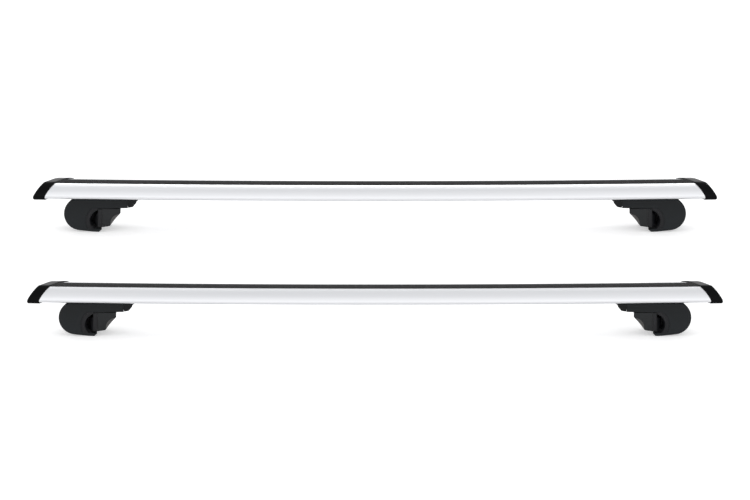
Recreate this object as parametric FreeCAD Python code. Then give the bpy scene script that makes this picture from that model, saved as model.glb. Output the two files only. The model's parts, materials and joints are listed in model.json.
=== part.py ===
"""Pair of aero roof crossbars with rail-clamp feet, the base that a ski rack stands on.

X runs across the car, +Y towards the rear, +Z up. The origin is under the middle of the pair,
on the plane that the soles of its four feet stand on. Every length is in millimetres.
"""
import FreeCAD
import Part
import math
import os

Vector = FreeCAD.Vector

# ---------------------------------------------------------------- crossbar
bar_length = 1200.0          # over both end caps, along the leading edge
bar_depth = 80.0             # leading edge to trailing edge
bar_height = 24.5            # underside to the flat land that carries the rubber strip
bar_spacing = 700.0          # front bar to rear bar
bow_rise = 4.5               # how far the ends stand above the middle
end_sweep = 33.5             # degrees that each end is raked back
end_lean = 13.5              # degrees that each end leans inwards towards its top
bar_wall = 2.0
nose_radius = 4.5            # round leading edge, which runs into the flat underside
brow_radius = 45.0           # long curve from the nose up to the rubber strip
tail_height = 6.0
tail_lower_depth = 8.0
tail_upper_depth = 40.0
web_thickness = 2.0

# rubber strip and the T-slot under it
strip_front = 20.0           # leading edge of the bar to the front of the strip
strip_width = 24.0
strip_edge_height = 1.0
strip_crown_height = 1.8
slot_mouth = 10.0
slot_lip = 2.2
slot_width = 18.0
slot_depth = 8.0
slot_wall = 1.8
strip_barb_reach = 1.7       # how far each barb catches behind the slot's lip
strip_barb_height = 1.6
bow_stations = 24            # straight lengths that the strip's bow is made of
seat_gap = 0.05              # parts that rest on each other
slot_gap = 0.2

# channel under the bar that the feet slide in
channel_center = 40.0
channel_mouth = 8.0
channel_lip = 2.2
channel_width = 18.0
channel_height = 5.0

# ---------------------------------------------------------------- end caps
cap_width = 21.0             # visible width along the bar
cap_proud = 2.0              # how far the cap stands outside the bar's section
cap_end_wall = 5.0
cap_gap = 0.1
cap_round = 3.2
cap_round_steps = 4
plug_length = 22.0
plug_gap = 0.4

# ---------------------------------------------------------------- foot housing
foot_inset = 54.5            # tip of the bar's leading edge to the outermost point of the foot
foot_depth = 60.0
foot_height = 58.0           # sole to the top of the foot
lobe_ground_gap = 2.2        # sole plane to the lowest point of the lobe
lobe_top_cut = 4.6           # height of the round lobe that the foot's flat top cuts off
lobe_rake = 14.0             # degrees that the lobe leans inwards towards the rear
sole_start = 50.0
sole_length = 12.0
lip_slope_run = 5.0          # length of the lip's slanted end
lip_thickness = 4.5
housing_wall = 4.0
housing_top_wall = 3.0
housing_round = 3.0
arm_length = 112.6           # from the outermost point of the foot
arm_drop = 16.0              # height of the arm
arm_taper = 1.0              # how much less high the arm is at its end
arm_channel_lead = 5.0       # the hollow in the arm starts this far before the carriage
gasket_least = 1.5           # thinnest place of the saddle gasket
gasket_inset = 2.0
slide_gap = 0.3              # between the foot's parts and the bar they slide on

# rail recess and its rubber pad
recess_center = 66.0         # from the outermost point of the foot
recess_center_drop = 38.0
recess_radius = 27.0
pad_end_thickness = 7.0      # of the rail pad at the faces of the foot
pad_middle_thickness = 12.0  # of the rail pad in the middle of its depth
pad_edge = 59.8

# ---------------------------------------------------------------- jaw and clamp screw
jaw_rest_gap = 0.6           # rail pad to jaw pad when the clamp is closed
jaw_pad_thickness = 7.6
jaw_pad_crown = 8.4
jaw_nose_gap = 1.0
tongue_height = 3.0          # rib around the jaw pad's nose, in a groove of the rail pad
tongue_width = 10.0
jaw_lip_gap = 4.0            # lip of the foot to the bottom of the jaw
jaw_toe_length = 13.0        # casting behind the rubber, along its bottom
jaw_heel_length = 32.0       # casting behind the rubber, along the arm
jaw_toe_rise = 2.0
jaw_heel_drop = 24.0
jaw_under_gap = 0.8
jaw_side_gap = 0.5
jaw_round = 2.0
jaw_travel = 25.0
carriage_length = 8.0
carriage_seat = 3.0          # how far the carriage reaches down into the wedge
boss_width = 16.0
boss_end_gap = 0.6           # boss to the end of the arm when the clamp is open
top_gap = 0.6
scoop_radius = 22.0
scoop_standoff = 15.0        # centre of the scoop's sphere in front of the jaw's face
scoop_bite = 6.0             # how far the scoop reaches into the jaw's face

screw_drop = 9.5             # clamp screw axis below the top of the foot
screw_radius = 3.0
screw_hold = 3.0             # thread left in the nut when the clamp is open
screw_head_length = 6.0
screw_head_radius = 5.0
screw_head_sink = 1.0        # head to the mouth of its counterbore
screw_key_radius = 2.9       # hexagon socket, across corners
running_gap = 0.06
hole_gap = 0.4
nut_start = 42.0
nut_length = 8.0
nut_width = 10.0
nut_gap = 0.1

# ---------------------------------------------------------------- slot plate and its bolts
bolt_places = (34.0, 57.0)   # from the outermost point of the foot
bolt_radius = 3.0
bolt_head_radius = 5.0
bolt_head_height = 2.7
bolt_key_radius = 2.3
plate_margin = 10.0          # slot plate beyond its bolts
plate_thickness = 3.4
plate_side_gap = 0.3
plate_lift = 0.6             # slot plate above the lips of the channel

# ---------------------------------------------------------------- key cover and lock
cover_nose = 21.0            # how far the cover reaches beyond the arm
cover_gap = 0.4
cover_wall = 2.5
cover_top_drop = 0.6
cover_chin = 8.5             # where the slanted chin starts, from the cover's open end
cover_chin_drop = 13.6
cover_drop = 15.0
cover_toe_rise = 0.8         # lowest corner of the cover below its flat bottom
cover_tip_reach = 2.0        # the chin's slope meets the top this far beyond the nose
cover_tip_drop = -0.8
chin_wall_ratio = 1.5        # the chin's wall along the arm, as the wall's share
hinge_inset = 3.3            # hinge axis to the rear face of the foot
hinge_radius = 3.0
hinge_side_gap = 0.6         # knuckle to the end of the arm
hinge_pin_radius = 1.25
knuckle_top = 5.0
knuckle_height = 5.0
lug_rise = 1.0               # lower lug above the bottom of the cover
lock_setback = 18.0          # lock axis in front of the middle of the foot
lock_drop = 7.8
lock_radius = 3.5
lock_face_reach = 9.4        # cover's open end to the face of the lock
lock_barrel_reach = 0.6      # cover's open end to the inner end of the barrel
lock_boss_wall = 1.7
lock_shaft_radius = 2.2
cam_gap = 0.6                # cam to the keeper, along the lock's axis
cam_thickness = 2.4
cam_width = 3.6
cam_reach = 4.0
keeper_setback = 3.6         # keeper to the end of the arm
keeper_thickness = 2.0
keeper_width = 8.0
keeper_height = 2.1
key_slot_width = 1.0
key_slot_length = 4.4
key_slot_depth = 3.0
overlap = 1.0                # how far joined or cutting shapes run into each other
edge_slack = 0.01            # how exactly a straight edge is told from a slanted one

# ---------------------------------------------------------------- worked out from the above
half_length = bar_length / 2
bow_radius = (half_length ** 2 + bow_rise ** 2) / (2 * bow_rise)
sweep_slope = math.tan(math.radians(end_sweep))
lean_slope = math.tan(math.radians(end_lean))
sweep_run = bar_depth * sweep_slope
end_reference = half_length - (cap_width + sweep_run) / 2
end_climb = -end_reference / bow_radius
foot_outer_x = -(half_length - foot_inset)
foot_mid = channel_center
foot_front = foot_mid - foot_depth / 2
foot_rear = foot_mid + foot_depth / 2
strip_rear = strip_front + strip_width
strip_mid = strip_front + strip_width / 2
sole_end = sole_start + sole_length
lip_end = sole_end + lip_slope_run
lobe_radius = (foot_height - lobe_ground_gap + lobe_top_cut) / 2
lobe_center = lobe_radius
lobe_center_drop = lobe_radius - lobe_top_cut
lobe_top_start = lobe_center - math.sqrt(lobe_radius ** 2 - lobe_center_drop ** 2)
rake_slope = math.tan(math.radians(lobe_rake))
rake_run = foot_depth * rake_slope
pad_face_radius = recess_radius - pad_end_thickness
pad_crown_radius = recess_radius - pad_middle_thickness
nose_reach = pad_crown_radius - jaw_nose_gap
tongue_reach = nose_reach + tongue_height
jaw_pad_front = pad_edge + jaw_rest_gap
jaw_back = jaw_pad_front + jaw_pad_thickness
jaw_drop = foot_height - lip_thickness - jaw_lip_gap
jaw_toe = jaw_back + jaw_toe_length
jaw_heel = jaw_back + jaw_heel_length
jaw_toe_drop = jaw_drop - jaw_toe_rise
carriage_end = jaw_back + carriage_length
boss_end = arm_length - jaw_travel - boss_end_gap
screw_head_start = boss_end - screw_head_sink - screw_head_length
screw_tip = nut_start + nut_length - screw_hold - jaw_travel
arm_channel_start = jaw_back - arm_channel_lead
plate_start = bolt_places[0] - plate_margin
plate_end = bolt_places[-1] + plate_margin
cover_start = arm_length + cover_gap
hinge_place = arm_length + hinge_radius + hinge_side_gap
hinge_y = foot_rear - hinge_inset
knuckle_bottom = knuckle_top + knuckle_height
lock_place = foot_mid - lock_setback
lock_face = cover_start + lock_face_reach
lock_barrel_start = cover_start + lock_barrel_reach
keeper_start = arm_length - keeper_setback
cam_start = keeper_start - cam_gap - cam_thickness


def bow_at(x):
    """How far the bar stands above its middle at a distance x from it."""
    return bow_radius - math.sqrt(bow_radius ** 2 - x ** 2)


bar_middle_z = foot_height + gasket_least + slide_gap - bow_at(foot_outer_x + arm_length)
foot_top_z = foot_height
bow_center = Vector(0, 0, bar_middle_z + bow_radius)


# ---------------------------------------------------------------- small helpers
def block(x0, x1, y0, y1, z0, z1):
    """A box between two corners."""
    return Part.makeBox(x1 - x0, y1 - y0, z1 - z0, Vector(x0, y0, z0))


def foot_block(u0, u1, y0, y1, drop0, drop1):
    """A box in the foot: u from its outermost point inwards, drop below its top."""
    return block(foot_outer_x + u0, foot_outer_x + u1, y0, y1, foot_top_z - drop1, foot_top_z - drop0)


def foot_point(u, drop, y=0.0):
    """A point in the foot, see foot_block."""
    return Vector(foot_outer_x + u, y, foot_top_z - drop)


def cross_rod(u, drop, radius, y0, y1):
    """A cylinder along Y in the foot."""
    return Part.makeCylinder(radius, y1 - y0, foot_point(u, drop, y0), Vector(0, 1, 0))


def long_rod(u0, u1, y, drop, radius):
    """A cylinder along X in the foot."""
    return Part.makeCylinder(radius, u1 - u0, foot_point(u0, drop, y), Vector(1, 0, 0))


def upright_rod(u, y, radius, z0, z1):
    """A vertical cylinder between two heights."""
    return Part.makeCylinder(radius, z1 - z0, Vector(foot_outer_x + u, y, z0), Vector(0, 0, 1))


def hexagon(radius):
    """A flat hexagon around the origin, in the XY plane."""
    corners = [Vector(radius * math.cos(math.radians(60 * k)), radius * math.sin(math.radians(60 * k)), 0)
               for k in range(6)]
    return Part.Face(Part.makePolygon(corners + corners[:1]))


def extruded_outline(points, y0, y1):
    """A straight-edged outline of (u, drop) points in the foot, given its depth along Y."""
    corners = [foot_point(u, drop, y0) for u, drop in points]
    return Part.Face(Part.makePolygon(corners + corners[:1])).extrude(Vector(0, y1 - y0, 0))


def ellipse_arc(y, z, half_depth, half_height, start, end):
    """Part of an ellipse in the YZ plane, its long axis along Y, angles in degrees from +Y."""
    middle = Vector(0, y, z)
    curve = Part.Ellipse(middle + Vector(0, half_depth, 0), middle + Vector(0, 0, half_height), middle)
    return Part.ArcOfEllipse(curve, math.radians(start), math.radians(end)).toShape()


def section_box(y0, y1, z0, z1):
    """A rectangle in the bar's section."""
    corners = [Vector(0, y0, z0), Vector(0, y1, z0), Vector(0, y1, z1), Vector(0, y0, z1)]
    return Part.Face(Part.makePolygon(corners + corners[:1]))


# ---------------------------------------------------------------- the bar's section
def brow_center():
    """Centre (y, z) of the brow's curve, which leaves the round nose smoothly and meets the strip."""
    run = strip_front - nose_radius
    rise = bar_height - nose_radius
    distance = math.hypot(run, rise)
    inner = brow_radius - nose_radius
    along = (inner ** 2 - brow_radius ** 2 + distance ** 2) / (2 * distance)
    across = math.sqrt(inner ** 2 - along ** 2)
    return (nose_radius + (along * run + across * rise) / distance,
            nose_radius + (along * rise - across * run) / distance)


def round_edge(center, radius, start, end):
    """An arc about a (y, z) centre in the bar's section, between two angles in degrees from +Y."""
    points = []
    for angle in (start, (start + end) / 2, end):
        turn = math.radians(angle)
        points.append(Vector(0, center[0] + radius * math.cos(turn), center[1] + radius * math.sin(turn)))
    return Part.Arc(*points).toShape()


def bar_section(inset):
    """The wing-shaped outline of the bar, moved inwards by inset (outwards if it is negative)."""
    bottom = inset
    top = bar_height - inset
    brow = brow_center()
    nose_angle = math.degrees(math.atan2(nose_radius - brow[1], nose_radius - brow[0]))
    brow_angle = 180 - math.degrees(math.asin((top - brow[1]) / (brow_radius - inset)))
    nose = round_edge((nose_radius, nose_radius), nose_radius - inset, nose_angle, 270)
    upper_front = round_edge(brow, brow_radius - inset, brow_angle, nose_angle)
    land_start = brow[0] + (brow_radius - inset) * math.cos(math.radians(brow_angle))
    rear_axis = tail_upper_depth - inset
    rear_center = bar_depth - tail_upper_depth
    rear_angle = math.degrees(math.acos((strip_rear - rear_center) / rear_axis))
    rear_rise = (top - tail_height) / math.sin(math.radians(rear_angle))
    upper_rear = ellipse_arc(rear_center, tail_height, rear_axis, rear_rise, 0, rear_angle)
    lower_rear = ellipse_arc(bar_depth - tail_lower_depth, tail_height, tail_lower_depth - inset,
                             tail_height - bottom, 270, 360)
    land = Part.makeLine(Vector(0, land_start, top), Vector(0, strip_rear, top))
    underside = Part.makeLine(Vector(0, nose_radius, bottom),
                              Vector(0, bar_depth - tail_lower_depth, bottom))
    edges = Part.__sortEdges__([nose, upper_front, land, upper_rear, lower_rear, underside])
    return Part.Face(Part.Wire(edges))


def along_bow(section, half_run):
    """Sweep a section of the bar along its bow, half_run to each side of the middle."""
    half_angle = math.degrees(math.asin(half_run / bow_radius))
    placed = section.copy()
    placed.translate(Vector(0, 0, bar_middle_z))
    placed.rotate(bow_center, Vector(0, 1, 0), -half_angle)
    return placed.revolve(bow_center, Vector(0, 1, 0), 2 * half_angle)


def end_x(y, z, setback):
    """X of the left end's raked and leaning plane at a depth y and a height z, moved inwards."""
    base = bar_middle_z + bow_at(end_reference) + end_climb * end_reference
    tip = -(half_length - setback)
    return (tip + sweep_slope * y + lean_slope * (z - base)) / (1 + end_climb * lean_slope)


def flat_face(corners):
    """A flat face with straight edges."""
    return Part.Face(Part.makePolygon(corners + corners[:1]))


def between_ends(setback):
    """Everything between the two raked ends, each moved inwards by setback."""
    front = -bar_depth
    rear = 2 * bar_depth
    rings = []
    for z in (-bar_depth, 2 * bar_depth):
        near = end_x(front, z, setback)
        far = end_x(rear, z, setback)
        rings.append([Vector(near, front, z), Vector(-near, front, z), Vector(-far, rear, z),
                      Vector(far, rear, z)])
    low, high = rings
    faces = [flat_face(low), flat_face(high)]
    for k in range(len(low)):
        faces.append(flat_face([low[k - 1], low[k], high[k], high[k - 1]]))
    return Part.Solid(Part.Shell(faces))


def raked(section, setback):
    """A section of the bar laid into the raked plane of the left end, moved inwards by setback."""
    start = -(half_length - setback)
    lift = bar_middle_z + bow_at(end_reference) + end_climb * (start + end_reference)
    matrix = FreeCAD.Matrix(0, sweep_slope, lean_slope, start, 0, 1, 0, 0,
                            0, end_climb * sweep_slope, 1 + end_climb * lean_slope, lift)
    return section.transformGeometry(matrix)


def raked_run(section, setback0, setback1):
    """A section of the bar given a length at the left end, between two setbacks."""
    run = setback1 - setback0
    return raked(section, setback0).extrude(Vector(run, 0, run * end_climb))


def make_crossbar():
    """The hollow aluminium extrusion, with a T-slot on top and a channel underneath."""
    slot_floor = bar_height - slot_lip - slot_depth
    channel_top = channel_lip + channel_height
    slot_half = slot_width / 2
    channel_half = channel_width / 2
    slot_box = section_box(strip_mid - slot_half - slot_wall, strip_mid + slot_half + slot_wall,
                           slot_floor - slot_wall, bar_height)
    channel_box = section_box(channel_center - channel_half - slot_wall,
                              channel_center + channel_half + slot_wall, 0, channel_top + slot_wall)
    web_y = (strip_mid + channel_center) / 2
    web = section_box(web_y - web_thickness / 2, web_y + web_thickness / 2, 0, bar_height)
    cavities = bar_section(bar_wall).cut([slot_box, channel_box, web])
    slot_void = section_box(strip_mid - slot_half, strip_mid + slot_half, slot_floor,
                            bar_height - slot_lip)
    slot_mouth_void = section_box(strip_mid - slot_mouth / 2, strip_mid + slot_mouth / 2,
                                  slot_floor, bar_height)
    channel_void = section_box(channel_center - channel_half, channel_center + channel_half,
                               channel_lip, channel_top)
    channel_mouth_void = section_box(channel_center - channel_mouth / 2,
                                     channel_center + channel_mouth / 2, 0, channel_top)
    section = bar_section(0).cut([cavities, slot_void, slot_mouth_void, channel_void,
                                  channel_mouth_void])
    bar = along_bow(section.Faces[0], half_length)
    return bar.common(between_ends(cap_end_wall))


def make_strip():
    """The rubber strip that closes the T-slot and grips the load, bent in short straight lengths."""
    low = bar_height + seat_gap
    edge = low + strip_edge_height
    arc = Part.Arc(Vector(0, strip_rear, edge), Vector(0, strip_mid, low + strip_crown_height),
                   Vector(0, strip_front, edge)).toShape()
    neck = slot_mouth / 2 - slot_gap
    barb = neck + strip_barb_reach
    barb_top = bar_height - slot_lip - slot_gap
    barb_bottom = barb_top - strip_barb_height
    path = [Vector(0, strip_front, edge), Vector(0, strip_front, low),
            Vector(0, strip_mid - neck, low), Vector(0, strip_mid - neck, barb_top),
            Vector(0, strip_mid - barb, barb_top), Vector(0, strip_mid - neck, barb_bottom),
            Vector(0, strip_mid + neck, barb_bottom), Vector(0, strip_mid + barb, barb_top),
            Vector(0, strip_mid + neck, barb_top), Vector(0, strip_mid + neck, low),
            Vector(0, strip_rear, low), Vector(0, strip_rear, edge)]
    section = Part.Wire(Part.makePolygon(path).Edges + [arc])
    section.translate(Vector(0, 0, bar_middle_z))
    half_angle = math.degrees(math.asin(half_length / bow_radius))
    stations = []
    for step in range(bow_stations + 1):
        station = section.copy()
        station.rotate(bow_center, Vector(0, 1, 0), half_angle * (1 - 2 * step / bow_stations))
        stations.append(station)
    strip = Part.makeLoft(stations, True, True)
    return strip.common(between_ends(cap_width + slot_gap))


def make_left_cap():
    """The left end cap: a raked shell over the bar's end, with two plugs in its cavities."""
    rounds = []
    for step in range(cap_round_steps + 1):
        turn = math.radians(90.0 * step / cap_round_steps)
        inset = cap_round * (1 - math.cos(turn)) - cap_proud
        setback = cap_round * (1 - math.sin(turn))
        rounds.append(raked(bar_section(inset).OuterWire, setback))
    tip = Part.makeLoft(rounds, True, True)
    shell = raked_run(bar_section(-cap_proud), cap_round, cap_width)
    body = shell.fuse(tip)
    body = body.cut(raked_run(bar_section(-cap_gap), cap_end_wall - cap_gap, cap_width + overlap))
    plugs = raked_run(make_plug_section(), cap_end_wall - cap_gap - overlap, plug_length)
    return body.fuse(plugs)


def make_plug_section():
    """The part of the section that the cap's two plugs fill, clear of the bar's inner walls."""
    inner = bar_section(bar_wall + plug_gap)
    half = max(slot_width, channel_width) / 2 + slot_wall + plug_gap
    low = min(strip_mid, channel_center) - half
    high = max(strip_mid, channel_center) + half
    return inner.cut(section_box(low, high, -bar_height, 2 * bar_height))


# ---------------------------------------------------------------- foot
def recess_cylinder(radius):
    """A cylinder along Y around the rail, through the whole foot."""
    return cross_rod(recess_center, recess_center_drop, radius, foot_front - overlap, foot_rear + overlap)


def lobe_foot(center):
    """Where the straight line to the sole leaves the lobe, whose centre is this far inwards."""
    run = sole_start - center
    fall = foot_height - lobe_center_drop
    turn = math.atan2(fall, run) + math.acos(lobe_radius / math.hypot(run, fall))
    return center + lobe_radius * math.cos(turn), lobe_center_drop + lobe_radius * math.sin(turn)


def lean_at(y):
    """How far the lobe has leaned inwards at a depth y."""
    return (y - foot_front) * rake_slope


def housing_outline(y):
    """The foot's outline at a depth y, where its lobe has leaned inwards by the rake."""
    lean = lean_at(y)
    top = foot_point(lobe_top_start + lean, 0, y)
    tangent = foot_point(*lobe_foot(lobe_center + lean), y)
    lobe = Part.Arc(top, foot_point(lobe_center + lean - lobe_radius, lobe_center_drop, y),
                    tangent).toShape()
    rest = Part.makePolygon([tangent, foot_point(sole_start, foot_height, y),
                             foot_point(sole_end, foot_height, y),
                             foot_point(lip_end, foot_height - lip_thickness, y),
                             foot_point(lip_end, arm_drop, y),
                             foot_point(arm_length, arm_drop - arm_taper, y),
                             foot_point(arm_length, 0, y), top])
    return Part.Wire([lobe] + rest.Edges)


def leaned(shape):
    """A shape in the lobe, leaning inwards towards the rear as the lobe does."""
    matrix = FreeCAD.Matrix(1, rake_slope, 0, -rake_slope * foot_front, 0, 1, 0, 0, 0, 0, 1, 0)
    return shape.transformGeometry(matrix)


def make_housing():
    """The moulded foot: a round lobe, a lip under the rail and an arm under the bar."""
    body = Part.makeLoft([housing_outline(foot_front), housing_outline(foot_rear)], True, True)
    rim = [edge for edge in body.Edges if on_lobe_rim(edge)]
    body = body.makeFillet(housing_round, rim)
    recess = recess_cylinder(recess_radius).common(
        foot_block(0, arm_length, 0, bar_depth, arm_drop, foot_height - lip_thickness))
    front = foot_front + housing_wall
    rear = foot_rear - housing_wall
    hollow = leaned(cross_rod(lobe_center, lobe_center_drop, lobe_radius - housing_wall, front, rear))
    hollow = hollow.cut(recess_cylinder(recess_radius + housing_wall))
    hollow = hollow.cut(foot_block(0, arm_length, 0, bar_depth, -lobe_radius, housing_top_wall))
    hollow_end = nut_start - housing_wall
    hollow = hollow.cut(foot_block(hollow_end, arm_length, 0, bar_depth, 0, lobe_radius))
    window_start = lobe_top_start + rake_run + housing_wall
    window_gap = bolt_head_radius + housing_wall / 2
    windows = [foot_block(window_start, hollow_end, y0, y1, -overlap, lobe_center_drop)
               for y0, y1 in ((front, foot_mid - window_gap), (foot_mid + window_gap, rear))]
    arm_channel = foot_block(arm_channel_start, arm_length + overlap, front, rear, housing_top_wall,
                             arm_drop + overlap)
    nut_pocket = foot_block(nut_start - nut_gap, nut_start + nut_length + nut_gap,
                            foot_mid - nut_width / 2 - nut_gap, foot_mid + nut_width / 2 + nut_gap,
                            -overlap, screw_drop + nut_width / 2 + nut_gap)
    screw_hole = long_rod(screw_tip, arm_channel_start + overlap, foot_mid, screw_drop,
                          screw_radius + hole_gap)
    body = body.cut([recess, hollow, arm_channel, nut_pocket, screw_hole] + windows)
    for place in bolt_places:
        shank = upright_rod(place, foot_mid, bolt_radius + hole_gap, foot_top_z - lobe_center_drop,
                            foot_top_z + overlap)
        head = upright_rod(place, foot_mid, bolt_head_radius + hole_gap,
                           foot_top_z - arm_drop - housing_wall / 2, foot_top_z - housing_top_wall)
        body = body.cut([shank, head])
    return body.fuse(make_hinge_lugs() + [make_keeper()]).cut(hinge_pin_hole()).removeSplitter()


def on_lobe_rim(edge):
    """Whether an edge of the housing's blank runs along its front or rear rim, arm excepted."""
    box = edge.BoundBox
    flat = box.YLength < edge_slack
    above_arm = box.ZMin > foot_top_z - edge_slack
    inboard = box.XMin > foot_outer_x + sole_start - overlap
    return flat and not above_arm and not inboard


def make_hinge_lugs():
    """The two ears that hold the cover's hinge pin, above and below its knuckle."""
    lugs = []
    for top, bottom in ((cover_top_drop, knuckle_top - slide_gap),
                        (knuckle_bottom + slide_gap, cover_drop - lug_rise)):
        ear = upright_rod(hinge_place, hinge_y, hinge_radius, foot_top_z - bottom, foot_top_z - top)
        neck = foot_block(arm_length - housing_wall, hinge_place, hinge_y - hinge_radius,
                          foot_rear - cover_gap, top, bottom)
        lugs.append(ear.fuse(neck))
    return lugs


def hinge_pin_hole():
    """The hole for the hinge pin in the lugs."""
    return upright_rod(hinge_place, hinge_y, hinge_pin_radius + running_gap,
                       foot_top_z - cover_drop, foot_top_z)


def make_keeper():
    """The rib inside the arm that the lock's cam turns behind."""
    return foot_block(keeper_start, keeper_start + keeper_thickness, lock_place - keeper_width / 2,
                      lock_place + keeper_width / 2, housing_top_wall - overlap,
                      housing_top_wall + keeper_height)


def bar_clearance():
    """The space that the bar takes up over the foot, with the sliding gap."""
    section = section_box(-bar_depth, 2 * bar_depth, -slide_gap, bar_depth)
    return along_bow(section, half_length)


def make_gasket():
    """The rubber saddle between the flat top of the foot and the bowed bar."""
    start = lobe_top_start + gasket_inset
    end = arm_length - gasket_inset
    front = foot_front + gasket_inset
    rear = foot_rear - gasket_inset
    corners = [foot_point(start + lean_at(front), -seat_gap, front), foot_point(end, -seat_gap, front),
               foot_point(end, -seat_gap, rear), foot_point(start + lean_at(rear), -seat_gap, rear)]
    plate = Part.Face(Part.makePolygon(corners + corners[:1])).extrude(Vector(0, 0, bar_height))
    plate = plate.cut(bar_clearance())
    for place in bolt_places:
        plate = plate.cut(upright_rod(place, foot_mid, bolt_radius + hole_gap, foot_top_z - overlap,
                                      foot_top_z + bar_height))
    return plate


def plate_height():
    """Height of the slot plate's underside, inside the bar's channel."""
    middle = foot_outer_x + (plate_start + plate_end) / 2
    return bar_middle_z + bow_at(middle) + channel_lip + plate_lift


def make_slot_plate():
    """The steel plate in the channel under the bar that the foot's bolts pull on."""
    low = plate_height()
    half = channel_width / 2 - plate_side_gap
    middle = (plate_start + plate_end) / 2
    plate = block(foot_outer_x + plate_start, foot_outer_x + plate_end, channel_center - half,
                  channel_center + half, low, low + plate_thickness)
    slope = math.degrees(math.asin((foot_outer_x + middle) / bow_radius))
    plate.rotate(Vector(foot_outer_x + middle, 0, low), Vector(0, 1, 0), -slope)
    for place in bolt_places:
        plate = plate.cut(upright_rod(place, foot_mid, bolt_radius + running_gap, low - bar_height,
                                      low + bar_height))
    return plate


def make_slot_bolts():
    """The two button-head bolts from inside the foot up into the slot plate."""
    bolts = []
    head_top = foot_top_z - housing_top_wall - seat_gap
    tip = plate_height() + plate_thickness
    for place in bolt_places:
        shank = upright_rod(place, foot_mid, bolt_radius, head_top - overlap, tip)
        head = upright_rod(place, foot_mid, bolt_head_radius, head_top - bolt_head_height, head_top)
        socket = hexagon(bolt_key_radius).extrude(Vector(0, 0, bolt_head_height / 2 + overlap))
        socket.translate(Vector(foot_outer_x + place, foot_mid, head_top - bolt_head_height - overlap))
        bolts.append(head.fuse(shank).cut(socket).removeSplitter())
    return Part.makeCompound(bolts)


def crown_spool():
    """A spool along Y: wide at the faces of the foot, narrow in the middle of its depth."""
    front = foot_point(recess_center, recess_center_drop - pad_face_radius, foot_front)
    rear = foot_point(recess_center, recess_center_drop - pad_face_radius, foot_rear)
    middle = foot_point(recess_center, recess_center_drop - pad_crown_radius, foot_mid)
    axis_front = foot_point(recess_center, recess_center_drop, foot_front)
    axis_rear = foot_point(recess_center, recess_center_drop, foot_rear)
    edges = [Part.Arc(front, middle, rear).toShape(), Part.makeLine(rear, axis_rear),
             Part.makeLine(axis_rear, axis_front), Part.makeLine(axis_front, front)]
    return Part.Face(Part.Wire(edges)).revolve(axis_front, Vector(0, 1, 0), 360)


def tongue_disc(gap):
    """The disc of the rib around the jaw pad's nose, in mid depth, made larger by gap."""
    half = tongue_width / 2 + gap
    return cross_rod(recess_center, recess_center_drop, tongue_reach + gap, foot_mid - half,
                     foot_mid + half)


def make_rail_pad():
    """The crowned rubber liner in the recess, which beds on a curved roof rail."""
    disc = cross_rod(recess_center, recess_center_drop, recess_radius - seat_gap, foot_front,
                     foot_rear)
    window = foot_block(0, pad_edge, foot_front, foot_rear, arm_drop + seat_gap,
                        foot_height - lip_thickness - seat_gap)
    return disc.common(window).cut([crown_spool(), tongue_disc(jaw_nose_gap)])


def jaw_crown():
    """Everything inboard of the jaw's crowned face, which bulges most in mid depth."""
    drop0 = arm_drop + jaw_under_gap
    face = Part.Arc(foot_point(jaw_pad_front, drop0, foot_front),
                    foot_point(jaw_pad_front - jaw_pad_crown, drop0, foot_mid),
                    foot_point(jaw_pad_front, drop0, foot_rear)).toShape()
    back = Part.makePolygon([foot_point(jaw_pad_front, drop0, foot_rear),
                             foot_point(jaw_back, drop0, foot_rear),
                             foot_point(jaw_back, drop0, foot_front),
                             foot_point(jaw_pad_front, drop0, foot_front)])
    return Part.Face(Part.Wire([face] + back.Edges)).extrude(Vector(0, 0, drop0 - jaw_drop - overlap))


def make_jaw_pad():
    """The rubber face of the jaw, with a round ribbed nose that nests in the rail pad."""
    nose = jaw_crown().common(recess_cylinder(nose_reach))
    tongue = tongue_disc(0)
    base = foot_block(jaw_pad_front, jaw_back, foot_front, foot_rear, arm_drop + jaw_under_gap,
                      jaw_drop)
    room = foot_block(0, jaw_back - seat_gap, foot_front, foot_rear, arm_drop + jaw_under_gap, jaw_drop)
    return base.fuse([nose, tongue]).common(room).removeSplitter()


def make_jaw():
    """The cast jaw: a wedge below the arm and a carriage inside it, bored for the clamp screw."""
    wedge = extruded_outline([(jaw_back, arm_drop + jaw_under_gap), (jaw_back, jaw_drop),
                              (jaw_toe, jaw_toe_drop), (jaw_heel, jaw_heel_drop),
                              (jaw_heel, arm_drop + jaw_under_gap)], foot_front, foot_rear)
    slanted = [edge for edge in wedge.Edges if on_jaw_rim(edge)]
    wedge = wedge.makeFillet(jaw_round, slanted)
    side = housing_wall + jaw_side_gap
    top = housing_top_wall + top_gap
    bottom = arm_drop + carriage_seat
    carriage = foot_block(jaw_back, carriage_end, foot_front + side, foot_rear - side, top, bottom)
    boss = foot_block(carriage_end - overlap, boss_end, foot_mid - boss_width / 2,
                      foot_mid + boss_width / 2, top, bottom)
    bore = long_rod(jaw_back - overlap, boss_end, foot_mid, screw_drop, screw_radius + running_gap)
    counterbore = long_rod(screw_head_start, boss_end + overlap, foot_mid, screw_drop,
                           screw_head_radius + hole_gap)
    scoops = [make_scoop(foot_front - scoop_standoff), make_scoop(foot_rear + scoop_standoff)]
    return wedge.fuse([carriage, boss]).cut([bore, counterbore] + scoops).removeSplitter()


def on_jaw_rim(edge):
    """Whether an edge of the jaw's wedge is its toe or heel corner along Y."""
    box = edge.BoundBox
    along_y = box.XLength < edge_slack and box.ZLength < edge_slack
    behind_rubber = box.XMin > foot_outer_x + (jaw_back + jaw_toe) / 2
    below_arm = box.ZMax < foot_top_z - (arm_drop + jaw_heel_drop) / 2
    return along_y and behind_rubber and below_arm


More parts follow.
